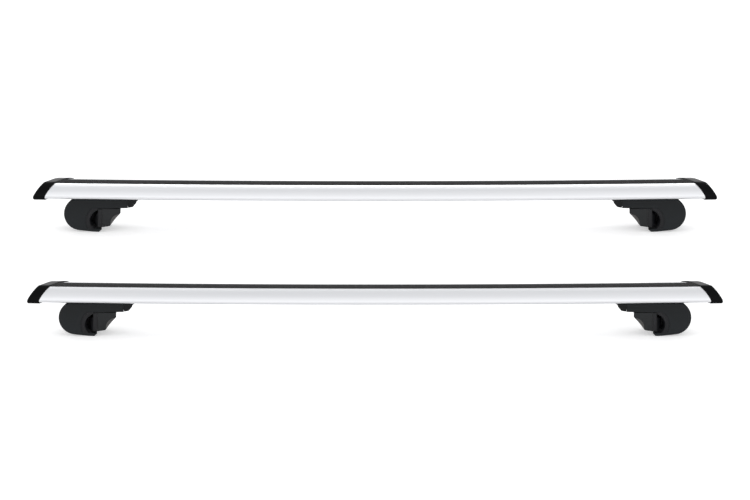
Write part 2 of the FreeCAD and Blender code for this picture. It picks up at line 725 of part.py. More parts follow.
def make_scoop(y):
    """The ball that scoops a finger grip out of the jaw's slanted edge, its centre at depth y."""
    run = jaw_heel - jaw_toe
    fall = jaw_toe_drop - jaw_heel_drop
    length = math.hypot(run, fall)
    outwards = math.sqrt(scoop_radius ** 2 - scoop_standoff ** 2) - scoop_bite
    middle_u = (jaw_heel + jaw_toe) / 2 + outwards * fall / length
    middle_drop = (jaw_heel_drop + jaw_toe_drop) / 2 + outwards * run / length
    return Part.makeSphere(scoop_radius, foot_point(middle_u, middle_drop, y))


def make_clamp_screw():
    """The socket screw that draws the jaw onto the rail."""
    shank = long_rod(screw_tip, screw_head_start + overlap, foot_mid, screw_drop, screw_radius)
    head = long_rod(screw_head_start + seat_gap, screw_head_start + screw_head_length, foot_mid,
                    screw_drop, screw_head_radius)
    socket = hexagon(screw_key_radius).extrude(Vector(0, 0, screw_head_length))
    socket.rotate(Vector(0, 0, 0), Vector(0, 1, 0), 90)
    socket.translate(foot_point(screw_head_start + screw_head_length / 2, screw_drop, foot_mid))
    return head.fuse(shank).cut(socket).removeSplitter()


def make_clamp_nut():
    """The square nut in the foot's pocket that the clamp screw turns in."""
    nut = foot_block(nut_start, nut_start + nut_length, foot_mid - nut_width / 2,
                     foot_mid + nut_width / 2, screw_drop - nut_width / 2, screw_drop + nut_width / 2)
    return nut.cut(long_rod(nut_start - overlap, nut_start + nut_length + overlap, foot_mid,
                            screw_drop, screw_radius + running_gap))


# ---------------------------------------------------------------- key cover
def cover_nose_shape(inset):
    """The rounded nose of the arm, from the arm's end inwards, moved in by inset."""
    middle = foot_point(cover_start, cover_drop - inset, foot_mid)
    tip = middle + Vector(0, foot_depth / 2 - inset, 0)
    side = middle + Vector(cover_nose - inset, 0, 0)
    plan = Part.Face(Part.Wire(Part.Ellipse(tip, side, middle).toShape()))
    nose = plan.extrude(Vector(0, 0, cover_drop - cover_top_drop - 2 * inset))
    nose = nose.common(foot_block(cover_start, cover_start + 2 * cover_nose, foot_front, foot_rear, 0,
                                  cover_drop))
    far = cover_start + 2 * cover_nose
    near = cover_start - cover_nose
    slope_inset = chin_wall_ratio * inset
    chin = extruded_outline([(cover_start + cover_chin - slope_inset, cover_chin_drop - inset),
                             (cover_start + cover_nose + cover_tip_reach - slope_inset, cover_tip_drop),
                             (far, cover_tip_drop), (far, 2 * cover_drop), (near, 2 * cover_drop),
                             (near, cover_drop + cover_toe_rise - inset)], 0, bar_depth)
    return nose.cut(chin)


def make_key_cover():
    """The hinged cover on the arm's end, over the clamp screw, with a boss for the lock."""
    rear = hinge_y - hinge_radius - cover_gap
    far = cover_start + 2 * cover_nose
    keep = foot_block(cover_start, far, 0, rear, 0, cover_drop)
    solid_nose = cover_nose_shape(0).common(keep)
    hollow = cover_nose_shape(cover_wall).common(
        foot_block(cover_start - overlap, far, 0, rear - cover_wall, 0, cover_drop))
    boss = long_rod(cover_start, far, lock_place, lock_drop, lock_radius + lock_boss_wall)
    cover = solid_nose.cut(hollow).fuse(boss.common(solid_nose))
    knuckle = upright_rod(hinge_place, hinge_y, hinge_radius, foot_top_z - knuckle_bottom,
                          foot_top_z - knuckle_top)
    strap = foot_block(cover_start + cover_gap, hinge_place + hinge_radius, rear - cover_wall, hinge_y,
                       knuckle_top, knuckle_bottom)
    cover = cover.fuse([knuckle, strap]).cut(hinge_pin_hole())
    lock_bore = long_rod(cover_start - overlap, far, lock_place, lock_drop, lock_radius + running_gap)
    return cover.cut(lock_bore).removeSplitter()


def make_hinge_pin():
    """The steel pin of the key cover."""
    return upright_rod(hinge_place, hinge_y, hinge_pin_radius, foot_top_z - cover_drop + lug_rise,
                       foot_top_z - cover_top_drop)


def make_lock():
    """The lock's barrel with its key slot, shaft and cam."""
    barrel = long_rod(lock_barrel_start, lock_face, lock_place, lock_drop, lock_radius)
    shaft = long_rod(cam_start, lock_barrel_start + overlap, lock_place, lock_drop, lock_shaft_radius)
    cam = foot_block(cam_start, cam_start + cam_thickness, lock_place, lock_place + cam_reach,
                     lock_drop - cam_width / 2, lock_drop + cam_width / 2)
    slot = foot_block(lock_face - key_slot_depth, lock_face + overlap, lock_place - key_slot_length / 2,
                      lock_place + key_slot_length / 2, lock_drop - key_slot_width / 2,
                      lock_drop + key_slot_width / 2)
    return barrel.fuse([shaft, cam]).cut(slot).removeSplitter()


# ---------------------------------------------------------------- writing the parts
def mirrored(shape):
    """The same piece at the other end of the bar."""
    return shape.mirror(Vector(0, 0, 0), Vector(1, 0, 0))


def write(shape, name, y):
    """Save one piece at its bar's place."""
    placed = shape.copy()
    placed.translate(Vector(0, y, 0))
    placed.exportStep("parts/" + name + ".step")
    print(name, "solids", len(placed.Solids), "valid", placed.isValid(), "volume",
          round(placed.Volume))


def main():
    """Make each piece once, then write it for both bars and both ends."""
    os.makedirs("parts", exist_ok=True)
    bar_pieces = {"crossbar": make_crossbar(), "rubber_strip": make_strip()}
    end_pieces = {"end_cap": make_left_cap(), "foot_housing": make_housing(),
                  "saddle_gasket": make_gasket(), "slot_plate": make_slot_plate(),
                  "slot_bolts": make_slot_bolts(), "rail_pad": make_rail_pad(),
                  "clamp_jaw": make_jaw(), "jaw_pad": make_jaw_pad(),
                  "clamp_screw": make_clamp_screw(), "clamp_nut": make_clamp_nut(),
                  "key_cover": make_key_cover(), "cover_hinge_pin": make_hinge_pin(),
                  "lock_cylinder": make_lock()}
    places = {"front": -(bar_spacing + bar_depth) / 2, "rear": (bar_spacing - bar_depth) / 2}
    for row, y in places.items():
        for name, shape in bar_pieces.items():
            write(shape, row + "_" + name, y)
        for name, shape in end_pieces.items():
            write(shape, row + "_left_" + name, y)
            write(mirrored(shape), row + "_right_" + name, y)


main()
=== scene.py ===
# %% [markdown]
# # A pair of aero roof bars, dressed in Blender
#
# The object is two silver roof bars with rubber strips, black end caps and clamp feet: the base that
# ski carriers are bolted to. Its solids were made in a CAD program and come in as a fixed frame, in
# metres, standing on the ground plane. The lesson gives each of them a finish, replaces a few plain
# ones with detailed pieces, and sets a quiet studio around them. X runs across the car, Y towards
# its rear and Z up.

# %% Load the frame
import json
import math

import bmesh
import bpy
from mathutils import Matrix, Vector


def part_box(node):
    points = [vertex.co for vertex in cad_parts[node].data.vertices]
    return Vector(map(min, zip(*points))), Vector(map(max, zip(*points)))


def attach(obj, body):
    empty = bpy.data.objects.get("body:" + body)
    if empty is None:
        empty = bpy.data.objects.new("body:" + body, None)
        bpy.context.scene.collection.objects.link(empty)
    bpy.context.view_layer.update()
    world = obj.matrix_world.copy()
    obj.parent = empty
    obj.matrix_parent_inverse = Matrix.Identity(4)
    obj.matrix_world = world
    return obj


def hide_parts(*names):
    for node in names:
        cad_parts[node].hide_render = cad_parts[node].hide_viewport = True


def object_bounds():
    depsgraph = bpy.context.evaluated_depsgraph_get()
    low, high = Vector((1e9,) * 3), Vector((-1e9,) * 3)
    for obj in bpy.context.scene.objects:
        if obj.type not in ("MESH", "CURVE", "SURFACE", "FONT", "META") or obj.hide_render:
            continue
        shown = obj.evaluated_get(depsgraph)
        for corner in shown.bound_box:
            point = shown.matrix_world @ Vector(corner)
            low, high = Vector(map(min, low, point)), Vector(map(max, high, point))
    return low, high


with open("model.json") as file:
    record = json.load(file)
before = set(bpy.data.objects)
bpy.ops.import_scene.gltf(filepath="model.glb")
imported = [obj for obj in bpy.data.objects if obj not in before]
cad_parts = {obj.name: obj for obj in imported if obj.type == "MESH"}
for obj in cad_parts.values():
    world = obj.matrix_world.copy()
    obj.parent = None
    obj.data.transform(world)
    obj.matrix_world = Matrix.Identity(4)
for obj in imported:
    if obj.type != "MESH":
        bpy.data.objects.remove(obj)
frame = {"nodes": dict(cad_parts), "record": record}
cad_box = [list(corner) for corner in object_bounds()]
nodes = frame["nodes"]
print("CAD box", [round(b - a, 4) for a, b in zip(*cad_box)], "with", len(nodes), "nodes")

# %% [markdown]
# ## Names for the rows, sides and faces
#
# There are two bars, and each has two feet that mirror each other. Almost every step repeats for
# all four corners. Their names could be typed out each time, but names that are made from two short
# lists can't be mistyped, and one loop over the corners serves every kind of piece.

# %% Rows, sides and corners
ROWS = ("front", "rear")
SIDES = ("left", "right")
CORNERS = [(row, side) for row in ROWS for side in SIDES]
FACES = ("front", "rear")
MM = 0.001
print("corners", CORNERS)

# %% [markdown]
# ## The camera
#
# The bars are seen from straight ahead and a little above, so that the front bar shows below the
# rear one, and both look almost equally long. A camera without perspective would do that too, but a
# very long lens far away keeps a trace of real depth. The frame is a little wider than the bars.

# %% Camera
VIEW_ELEVATION = math.radians(14.9)
LENS_MM = 1100.0
SENSOR_MM = 36.0
FRAME_SHARE = 1.0877
FRAME_WIDTH = FRAME_SHARE * (cad_box[1][0] - cad_box[0][0])
AIM_HEIGHT = 52.3 * MM
NEAR_SHARE = 0.5
FAR_SHARE = 2.0


def add_camera():
    """A long-lens camera in front of the bars, aimed between them."""
    data = bpy.data.cameras.new("studio_camera")
    data.lens = LENS_MM
    data.sensor_width = SENSOR_MM
    distance = FRAME_WIDTH * LENS_MM / SENSOR_MM
    data.clip_start = distance * NEAR_SHARE
    data.clip_end = distance * FAR_SHARE
    camera = bpy.data.objects.new("studio_camera", data)
    bpy.context.scene.collection.objects.link(camera)
    back = Vector((0, -math.cos(VIEW_ELEVATION), math.sin(VIEW_ELEVATION)))
    camera.location = Vector((0, 0, AIM_HEIGHT)) + back * distance
    camera.rotation_euler = (-back).to_track_quat("-Z", "Y").to_euler()
    bpy.context.scene.camera = camera
    print("camera", round(distance, 2), "m away")


add_camera()

# %% [markdown]
# ## The sky
#
# Satin metal and black plastic show what is around them more than they show light, so the room
# matters most. A white sphere with lamps in it would be a room too, but a colour ramp over the
# height of the sky does the same with a few values. It is brightest thirty degrees up and a third
# dimmer overhead, which gives the silver bars their shading from top to bottom.

# %% Sky
SKY_STRENGTH = 1.16
SKY_BLUE = 1.01
# Each pair is a height, as the sine of its angle, and how bright the sky is there.
SKY_LEVELS = ((0.0, 0.86), (0.5, 1.0), (0.72, 0.97), (0.9, 0.74), (1.0, 0.66))


def add_sky():
    """A white sky: brightest thirty degrees up, dimmer overhead, a little dimmer at the horizon."""
    world = bpy.data.worlds.new("studio_sky")
    bpy.context.scene.world = world
    world.use_nodes = True
    tree = world.node_tree
    tree.nodes.clear()
    place = tree.nodes.new("ShaderNodeTexCoord")
    split = tree.nodes.new("ShaderNodeSeparateXYZ")
    ramp = tree.nodes.new("ShaderNodeValToRGB")
    sky = tree.nodes.new("ShaderNodeBackground")
    out = tree.nodes.new("ShaderNodeOutputWorld")
    for height, _ in SKY_LEVELS[1:-1]:
        ramp.color_ramp.elements.new(height)
    for element, (height, level) in zip(ramp.color_ramp.elements, SKY_LEVELS):
        element.position = height
        element.color = (level, level, level * SKY_BLUE, 1)
    tree.links.new(place.outputs["Generated"], split.inputs[0])
    tree.links.new(split.outputs["Z"], ramp.inputs["Fac"])
    tree.links.new(ramp.outputs["Color"], sky.inputs["Color"])
    tree.links.new(sky.outputs[0], out.inputs[0])
    sky.inputs["Strength"].default_value = SKY_STRENGTH
    print("sky with", len(ramp.color_ramp.elements), "levels")


add_sky()
bpy.context.scene.view_settings.view_transform = "Standard"

# %% [markdown]
# ## The floor
#
# The bars stand on a sheet of pale paper that hardly shows a shadow, because in a studio it is lit
# from all sides. More lamps could do that, but they would shine on the bars as well, so the paper
# glows by itself. The Light Path node tells rays from the eye from all others. The glow is stronger
# for those, so that the paper looks white and yet lights the undersides of the bars only a little.

# %% Numbers and sums in a node tree
def feed(tree, socket, value):
    """Set a socket to a number or link it to another socket. None leaves it as it is."""
    if isinstance(value, (int, float)):
        socket.default_value = value
    elif value is not None:
        tree.links.new(value, socket)


def math_node(tree, operation, first, second=None, third=None, clamp=False):
    """A Math node with its inputs linked or set."""
    node = tree.nodes.new("ShaderNodeMath")
    node.operation = operation
    node.use_clamp = clamp
    for socket, value in zip(node.inputs, (first, second, third)):
        feed(tree, socket, value)
    return node.outputs[0]


# %% Floor
FLOOR_SIZE = 9.0
FLOOR_DROP = 0.4 * MM
FLOOR_TONE = 0.72
FLOOR_GLOW = 0.12
FLOOR_GLOW_SEEN = 0.32
FLOOR_ROUGHNESS = 0.9
FLOOR_SPECULAR = 0.1


def paper_floor():
    """Pale matt paper. It glows more for the eye than for the things on it."""
    material = bpy.data.materials.new("paper_floor")
    material.use_nodes = True
    tree = material.node_tree
    bsdf = tree.nodes["Principled BSDF"]
    bsdf.inputs["Base Color"].default_value = (FLOOR_TONE, FLOOR_TONE, FLOOR_TONE, 1)
    bsdf.inputs["Emission Color"].default_value = (1.0, 1.0, 1.0, 1)
    bsdf.inputs["Roughness"].default_value = FLOOR_ROUGHNESS
    bsdf.inputs["Specular IOR Level"].default_value = FLOOR_SPECULAR
    seen = tree.nodes.new("ShaderNodeLightPath").outputs["Is Camera Ray"]
    glow = math_node(tree, "MULTIPLY_ADD", seen, FLOOR_GLOW_SEEN, FLOOR_GLOW)
    tree.links.new(glow, bsdf.inputs["Emission Strength"])
    return material


def add_floor():
    """A wide pale sheet just under the soles."""
    mesh = bpy.data.meshes.new("studio_floor")
    sheet = bmesh.new()
    bmesh.ops.create_grid(sheet, x_segments=1, y_segments=1, size=FLOOR_SIZE)
    bmesh.ops.translate(sheet, verts=sheet.verts, vec=(0, 0, -FLOOR_DROP))
    sheet.to_mesh(mesh)
    sheet.free()
    floor = bpy.data.objects.new("studio_floor", mesh)
    bpy.context.scene.collection.objects.link(floor)
    mesh.materials.append(paper_floor())
    print("floor", 2 * FLOOR_SIZE, "m wide")


add_floor()

# %% [markdown]
# ## Softboxes
#
# Three lamps shape the edges. A long one above and behind shines along the tops of the bars, and
# two tall ones at the front corners pick out the ends of the feet. Points of light would do for the
# matt parts, but glossy caps would show them as hard dots, and a rectangle as a soft panel.

# %% Softboxes
TOP_BOX = {"place": (0, 1.7, 2.9), "aim": (0, 0, 0), "size": (3.4, 0.7), "watts": 18}
SIDE_BOX = {"place": (2.4, -1.4, 0.8), "aim": (0.45, -0.2, 0.05), "size": (0.6, 1.0), "watts": 5}


def add_softbox(name, place, aim, size, watts, hand=1):
    """A rectangular lamp that faces aim, out of the camera's sight. A hand of -1 mirrors it."""
    data = bpy.data.lights.new(name, "AREA")
    data.shape = "RECTANGLE"
    data.size = size[0]
    data.size_y = size[1]
    data.energy = watts
    lamp = bpy.data.objects.new(name, data)
    bpy.context.scene.collection.objects.link(lamp)
    mirror = Matrix.Diagonal((hand, 1, 1))
    lamp.location = mirror @ Vector(place)
    towards = mirror @ (Vector(aim) - Vector(place))
    lamp.rotation_euler = towards.to_track_quat("-Z", "Y").to_euler()
    lamp.visible_camera = False
    print("softbox", name, watts, "W")


add_softbox("strip_softbox", **TOP_BOX)
for hand in (-1, 1):
    add_softbox("side_softbox", **SIDE_BOX, hand=hand)

# %% [markdown]
# ## Shared effects
#
# Moulded plastic, cast metal and rubber all have a fine skin that breaks up the light, a drawn bar
# has faint lines, every handled edge is a little rubbed, and the scooped faces of the jaws get a
# painted highlight.
# Each effect could be built anew in every material, but as a node group with its own inputs it is
# built once and placed in many. A group gives out masks, values and heights, and the shader itself
# stays in the material.


# %% Helpers for node groups
def new_group(name, numbers, outputs):
    """A shader node group with number inputs {name: default} and number outputs."""
    group = bpy.data.node_groups.new(name, "ShaderNodeTree")
    for title, value in numbers.items():
        socket = group.interface.new_socket(title, in_out="INPUT", socket_type="NodeSocketFloat")
        socket.default_value = value
    for title in outputs:
        group.interface.new_socket(title, in_out="OUTPUT", socket_type="NodeSocketFloat")
    entry = group.nodes.new("NodeGroupInput")
    leave = group.nodes.new("NodeGroupOutput")
    print("node group", name)
    return group, entry, leave


def noise_node(tree, vector, scale, detail=2.0, roughness=0.5):
    """A noise texture on the given coordinates."""
    node = tree.nodes.new("ShaderNodeTexNoise")
    node.inputs["Detail"].default_value = detail
    node.inputs["Roughness"].default_value = roughness
    tree.links.new(vector, node.inputs["Vector"])
    feed(tree, node.inputs["Scale"], scale)
    return node.outputs["Fac"]


# %% [markdown]
# ### Moulded grain
#
# A mould is spark-eroded, and the skin of what comes out of it is pebbled. Round cells with a finer
# noise over them give its height, and large soft clouds give the slow changes of its tone.

# %% Moulded grain
FINE_NOISE = 0.7
PEBBLE_SHARE = 0.5
CLOUDS_PER_METRE = 22.0


def make_grain_group():
    """Height and tone of a fine pebbled skin. Scale is in pebbles per metre."""
    group, entry, leave = new_group("moulded_grain", {"Scale": 1500.0, "Tone": 0.3}, ("Height", "Tone"))
    place = group.nodes.new("ShaderNodeTexCoord").outputs["Object"]
    cells = group.nodes.new("ShaderNodeTexVoronoi")
    group.links.new(place, cells.inputs["Vector"])
    group.links.new(entry.outputs["Scale"], cells.inputs["Scale"])
    fine_scale = math_node(group, "MULTIPLY", entry.outputs["Scale"], FINE_NOISE)
    fine = noise_node(group, place, fine_scale, detail=3.0)
    clouds = noise_node(group, place, CLOUDS_PER_METRE, detail=4.0, roughness=0.6)
    pebbles = math_node(group, "MULTIPLY", cells.outputs["Distance"], PEBBLE_SHARE)
    height = math_node(group, "ADD", pebbles, math_node(group, "MULTIPLY", fine, 1 - PEBBLE_SHARE))
    swing = math_node(group, "SUBTRACT", clouds, 0.5)
    tone = math_node(group, "MULTIPLY_ADD", swing, entry.outputs["Tone"], 0.5)
    group.links.new(height, leave.inputs["Height"])
    group.links.new(tone, leave.inputs["Tone"])
    return group


GRAIN = make_grain_group()

# %% [markdown]
# ### Drawn streaks
#
# A die leaves long lines on an extrusion. They are a noise that is stretched about a hundred and
# seventy times along X: the fine one gives the height, and a much wider one the tone.

# %% Drawn streaks
STREAK_SQUEEZE = 0.006
WIDE_STREAKS = 0.12


def make_streak_group():
    """Lines along X, as Height and Tone. Fineness is in lines per metre across the bar."""
    group, entry, leave = new_group("drawn_streaks", {"Fineness": 900.0}, ("Height", "Tone"))
    place = group.nodes.new("ShaderNodeTexCoord").outputs["Object"]
    stretch = group.nodes.new("ShaderNodeMapping")
    stretch.inputs["Scale"].default_value = (STREAK_SQUEEZE, 1.0, 1.0)
    group.links.new(place, stretch.inputs["Vector"])
    fineness = entry.outputs["Fineness"]
    lines = noise_node(group, stretch.outputs[0], fineness, detail=3.0, roughness=0.7)
    wide_scale = math_node(group, "MULTIPLY", fineness, WIDE_STREAKS)
    wide = noise_node(group, stretch.outputs[0], wide_scale)
    group.links.new(lines, leave.inputs["Height"])
    group.links.new(wide, leave.inputs["Tone"])
    return group


STREAKS = make_streak_group()

# %% [markdown]
# ### Worn edges
#
# Hands and ski bags rub the edges first. The mask could be painted by hand, but a Bevel node finds
# the edges by itself: it bends the normal there, away from the one of the face. Noise breaks the
# rubbed lines up, since nothing wears evenly.

# %% Worn edges
BEVEL_SAMPLES = 4
WEAR_PATCHES = 160.0
WEAR_CONTRAST = 6.0


def make_wear_group():
    """A mask that is 1 on sharp edges and 0 on flats, broken up by noise. Radius is in metres."""
    group, entry, leave = new_group("worn_edges", {"Radius": 0.8 * MM, "Amount": 1.0}, ("Mask",))
    place = group.nodes.new("ShaderNodeTexCoord").outputs["Object"]
    bevel = group.nodes.new("ShaderNodeBevel")
    bevel.samples = BEVEL_SAMPLES
    group.links.new(entry.outputs["Radius"], bevel.inputs["Radius"])
    facing = group.nodes.new("ShaderNodeNewGeometry").outputs["Normal"]
    dot = group.nodes.new("ShaderNodeVectorMath")
    dot.operation = "DOT_PRODUCT"
    group.links.new(bevel.outputs[0], dot.inputs[0])
    group.links.new(facing, dot.inputs[1])
    edge = math_node(group, "SUBTRACT", 1.0, dot.outputs["Value"], clamp=True)
    patches = noise_node(group, place, WEAR_PATCHES, detail=4.0, roughness=0.7)
    broken = math_node(group, "MULTIPLY", edge, math_node(group, "MULTIPLY", patches, WEAR_CONTRAST))
    mask = math_node(group, "MULTIPLY", broken, entry.outputs["Amount"], clamp=True)
    group.links.new(mask, leave.inputs["Mask"])
    return group


WEAR = make_wear_group()

# %% [markdown]
# ### Painted highlight on the scooped faces
#
# The jaws are cast with scoops in their front and rear, and the slanted walls of these get a painted
# highlight: a lighter grey that stands in for the light they catch. A wall is told by how squarely it
# faces the front or the rear, so the mask needs nothing but the Y part of the normal, and the same
# node works on every casting.

# %% Painted highlight on the scooped faces
SCOOP_EDGE = 2.0


def make_scoop_highlight_group():
    """Mask of a painted highlight: 1 where a face leans 28 to 47 degrees from the Y axis, and 0 below 10 or
    above 54.
    """
    group, entry, leave = new_group("scoop_highlight_faces", {"Middle": 0.785, "Spread": 0.2}, ("Mask",))
    normal = group.nodes.new("ShaderNodeTexCoord").outputs["Normal"]
    split = group.nodes.new("ShaderNodeSeparateXYZ")
    group.links.new(normal, split.inputs[0])
    facing = math_node(group, "ABSOLUTE", split.outputs["Y"])
    off = math_node(group, "ABSOLUTE", math_node(group, "SUBTRACT", facing, entry.outputs["Middle"]))
    near = math_node(group, "DIVIDE", off, entry.outputs["Spread"])
    inside = math_node(group, "SUBTRACT", 1.0, near, clamp=True)
    mask = math_node(group, "MULTIPLY", inside, SCOOP_EDGE, clamp=True)
    group.links.new(mask, leave.inputs["Mask"])
    return group


SCOOP_HIGHLIGHT_MASK = make_scoop_highlight_group()

# %% [markdown]
# ## The finishes
#
# A finish starts from one principled shader. Its plain numbers, such as metallic and specular
# level, are set on its own sockets. What changes over the surface comes in through nodes: colour
# from a base and a worn colour mixed by the edge mask, roughness from a range driven by the tone,
# and a bump from the grain. Each finish has the name of its material slot.

# %% Helpers for finishes
FINISHES = {}
MIX_COLOR_INPUTS = (6, 7)
MIX_COLOR_OUTPUT = 2


def new_finish(name, **sockets):
    """A material with its principled shader's plain numbers set, filed under its name."""
    material = bpy.data.materials.new(name)
    material.use_nodes = True
    tree = material.node_tree
    bsdf = tree.nodes["Principled BSDF"]
    for title, value in sockets.items():
        bsdf.inputs[title.replace("_", " ")].default_value = value
    FINISHES[name] = material
    print("finish", name)
    return tree, bsdf


def place_group(tree, group, **values):
    """One use of a node group, with its number inputs set."""
    node = tree.nodes.new("ShaderNodeGroup")
    node.node_tree = group
    for title, value in values.items():
        node.inputs[title].default_value = value
    return node


def mix_colors(tree, mask, low, high):
    """A colour between low and high, each an RGB triple or a socket."""
    node = tree.nodes.new("ShaderNodeMix")
    node.data_type = "RGBA"
    tree.links.new(mask, node.inputs["Factor"])
    for number, value in zip(MIX_COLOR_INPUTS, (low, high)):
        if isinstance(value, tuple):
            node.inputs[number].default_value = (*value, 1)
        else:
            tree.links.new(value, node.inputs[number])
    return node.outputs[MIX_COLOR_OUTPUT]


def map_range(tree, value, low, high, full=1.0):
    """Takes 0..full to low..high."""
    node = tree.nodes.new("ShaderNodeMapRange")
    tree.links.new(value, node.inputs["Value"])
    node.inputs["From Max"].default_value = full
    node.inputs["To Min"].default_value = low
    node.inputs["To Max"].default_value = high
    return node.outputs["Result"]


def bump(tree, height, strength, distance, normal=None):
    """A Bump node's normal, on top of another normal if one is given."""
    node = tree.nodes.new("ShaderNodeBump")
    node.inputs["Strength"].default_value = strength
    node.inputs["Distance"].default_value = distance
    tree.links.new(height, node.inputs["Height"])
    feed(tree, node.inputs["Normal"], normal)
    return node.outputs["Normal"]


# %% [markdown]
# ### Bare metals
#
# The bars are drawn through a die, etched and anodised: a bright satin metal with faint lines along
# the bar. Nuts, screws and plates are zinc-plated steel, pale and slightly blotchy. Both are one
# recipe: a skin gives a shallow bump and small changes of colour and roughness, and the edges are
# rubbed brighter.

# %% Bare metals
METAL_RELIEF = 0.1 * MM


def metal_finish(name, skin_group, skin_values, dull, bright, rubbed, rough, depth, wear, wear_radius):
    """Bare metal with the skin of a node group and rubbed edges."""
    tree, bsdf = new_finish(name, Metallic=1.0)
    skin = place_group(tree, skin_group, **skin_values)
    edges = place_group(tree, WEAR, Radius=wear_radius, Amount=wear)
    tone = skin.outputs["Tone"]
    base = mix_colors(tree, tone, dull, bright)
    tree.links.new(mix_colors(tree, edges.outputs["Mask"], base, rubbed), bsdf.inputs["Base Color"])
    tree.links.new(map_range(tree, tone, *rough), bsdf.inputs["Roughness"])
    tree.links.new(bump(tree, skin.outputs["Height"], depth, METAL_RELIEF), bsdf.inputs["Normal"])


metal_finish("anodised_aluminium", STREAKS, {"Fineness": 1400.0}, dull=(0.83, 0.84, 0.86),
             bright=(0.89, 0.90, 0.915), rubbed=(0.94, 0.94, 0.94), rough=(0.24, 0.36),
             depth=0.10, wear=0.5, wear_radius=0.6 * MM)
metal_finish("zinc_steel", GRAIN, {"Scale": 700.0, "Tone": 0.5}, dull=(0.52, 0.52, 0.49),
             bright=(0.70, 0.70, 0.67), rubbed=(0.85, 0.85, 0.83), rough=(0.28, 0.48),
             depth=0.15, wear=0.8, wear_radius=0.4 * MM)

# %% [markdown]
# ### Moulded, cast and painted parts
#
# Rubber, plastic and painted castings differ in tone and gloss, but have the same build: a grained
# skin, soft edges and a little wear. Their solids have sharp edges, and a bevel on the mesh would
# be the usual cure. Here a Bevel node rounds the edges in the shading alone, because the solids are
# never changed. The lowest part of the feet is painted lighter, in patches, as painted light that
# the floor throws back onto them.

# %% Painted light from the floor near the ground
BOUNCE_PATCHES = 55.0
BOUNCE_LEAST = 0.4


def floor_bounce_mask(tree, top):
    """Patchy painted light from the floor that thins out upwards, gone at a height of top metres."""
    place = tree.nodes.new("ShaderNodeTexCoord").outputs["Object"]
    split = tree.nodes.new("ShaderNodeSeparateXYZ")
    tree.links.new(place, split.inputs[0])
    fade = map_range(tree, split.outputs["Z"], 1.0, 0.0, top)
    patches = noise_node(tree, place, BOUNCE_PATCHES, detail=4.0, roughness=0.6)
    cover = math_node(tree, "ADD", patches, BOUNCE_LEAST)
    return math_node(tree, "MULTIPLY", fade, cover, clamp=True)


# %% Recipe for moulded parts
DARK_SHARE = 0.75
LIGHT_SHARE = 1.3
BOUNCE_SHARE = 2.1
MOULDED_RELIEF = 0.2 * MM
SOFT_SAMPLES = 6
WEAR_RADIUS = 0.8 * MM


def shade(color, share):
    """A colour made darker or lighter."""
    return tuple(share * channel for channel in color)


def moulded_finish(name, color, worn, rough, grain, depth, wear, metallic=0.0, specular=0.5,
                   soft_radius=0.8 * MM, scoop_highlight=None, painted_bounce_below=0.0):
    """Plastic, rubber or painted metal: a pebbled skin with soft, rubbed edges."""
    tree, bsdf = new_finish(name, Metallic=metallic, Specular_IOR_Level=specular)
    skin = place_group(tree, GRAIN, Scale=grain, Tone=0.5)
    edges = place_group(tree, WEAR, Radius=WEAR_RADIUS, Amount=wear)
    tone = skin.outputs["Tone"]
    base = mix_colors(tree, tone, shade(color, DARK_SHARE), shade(color, LIGHT_SHARE))
    # Painted light: the lowest part is made lighter in patches, standing in for light the floor throws
    # back.
    if painted_bounce_below:
        base = mix_colors(tree, floor_bounce_mask(tree, painted_bounce_below), base, shade(color, BOUNCE_SHARE))
    # Painted highlight: the slanted scoop walls get a lighter grey that stands in for the light they catch.
    if scoop_highlight:
        base = mix_colors(tree, place_group(tree, SCOOP_HIGHLIGHT_MASK).outputs["Mask"], base, scoop_highlight)
    tree.links.new(mix_colors(tree, edges.outputs["Mask"], base, worn), bsdf.inputs["Base Color"])
    tree.links.new(map_range(tree, tone, *rough), bsdf.inputs["Roughness"])
    soft = tree.nodes.new("ShaderNodeBevel")
    soft.samples = SOFT_SAMPLES
    soft.inputs["Radius"].default_value = soft_radius
    relief = bump(tree, skin.outputs["Height"], depth, MOULDED_RELIEF, soft.outputs[0])
    tree.links.new(relief, bsdf.inputs["Normal"])


# %% Rubber
moulded_finish("strip_rubber", color=(0.007, 0.007, 0.0075), worn=(0.02, 0.02, 0.02),
               rough=(0.5, 0.65), grain=1800.0, depth=0.2, wear=0.3, specular=0.2,
               soft_radius=0.2 * MM)
moulded_finish("pad_rubber", color=(0.0085, 0.0088, 0.0105), worn=(0.04, 0.04, 0.042),
               rough=(0.4, 0.55), grain=1100.0, depth=0.2, wear=0.4, specular=0.3)

# %% Plastic
moulded_finish("cap_plastic", color=(0.002, 0.0022, 0.0025), worn=(0.015, 0.015, 0.015),
               rough=(0.08, 0.14), grain=500.0, depth=0.015, wear=0.3, specular=0.07)
# The lighter lowest part of the feet is painted light from the floor.
moulded_finish("foot_plastic", color=(0.0062, 0.0076, 0.0086), worn=(0.035, 0.035, 0.037),
               rough=(0.42, 0.58), grain=1500.0, depth=0.3, wear=0.4, specular=0.24,
               soft_radius=2.0 * MM, painted_bounce_below=50.0 * MM)
moulded_finish("cover_plastic", color=(0.0035, 0.0042, 0.0048), worn=(0.03, 0.03, 0.03),
               rough=(0.25, 0.38), grain=1200.0, depth=0.15, wear=0.5, specular=0.2,
               soft_radius=1.2 * MM)

